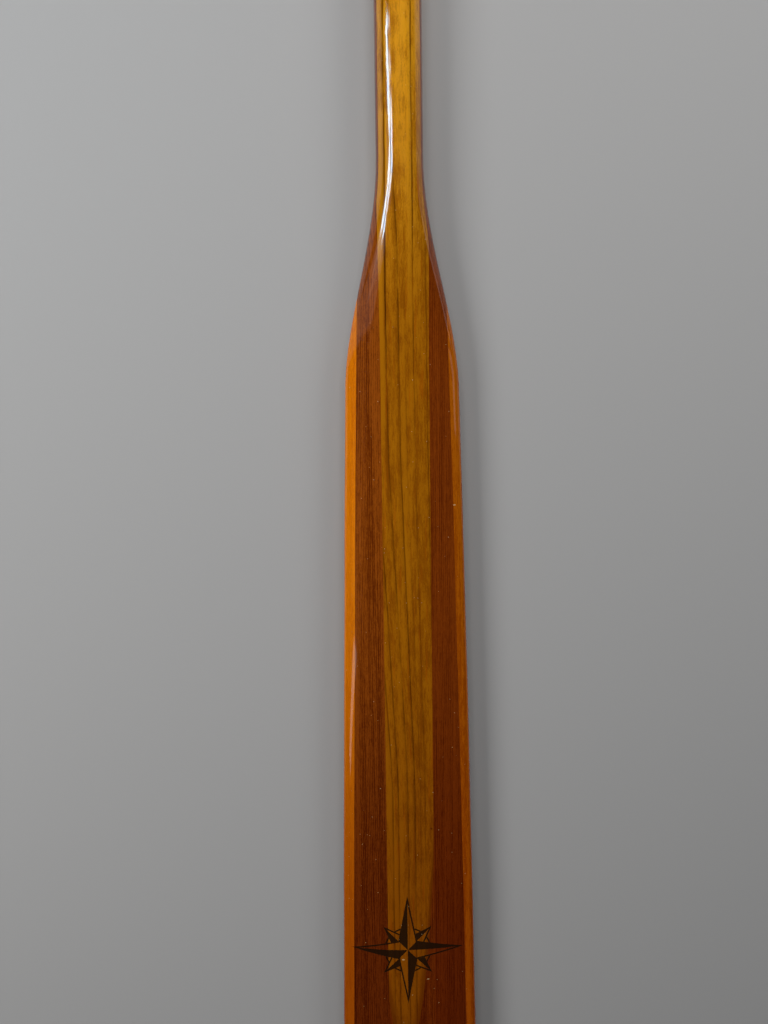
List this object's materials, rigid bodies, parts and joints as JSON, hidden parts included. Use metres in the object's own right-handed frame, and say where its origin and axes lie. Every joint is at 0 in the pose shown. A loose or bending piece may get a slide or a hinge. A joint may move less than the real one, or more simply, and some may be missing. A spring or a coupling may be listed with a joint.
{
  "type": "kayak paddle",
  "caption": "Laminated varnished wooden kayak paddle: a rounded loom with a long narrow blade at each end, glued up from a yellow core, red cedar cheeks and orange edge strips.",
  "frame": {"origin": "middle of the loom, which is the centre of the paddle's box", "axes": "+X along the paddle to the right blade, +Y to the blades' top edge, +Z out of the front face"},
  "size_m": [2.1798, 0.0936, 0.033],
  "materials": {
    "yellow_wood": "gloss varnish",
    "red_cedar": "gloss varnish",
    "amber_wood": "gloss varnish"
  },
  "bodies": {
    "root": {"front_face_stave": "yellow_wood", "middle_stave": "red_cedar", "back_face_stave": "yellow_wood", "right_blade_top_cheek": "red_cedar", "right_blade_bottom_cheek": "red_cedar", "left_blade_top_cheek": "red_cedar", "left_blade_bottom_cheek": "red_cedar", "right_blade_top_edge_strip": "amber_wood", "right_blade_bottom_edge_strip": "amber_wood", "left_blade_top_edge_strip": "amber_wood", "left_blade_bottom_edge_strip": "amber_wood"}
  },
  "joints": []
}
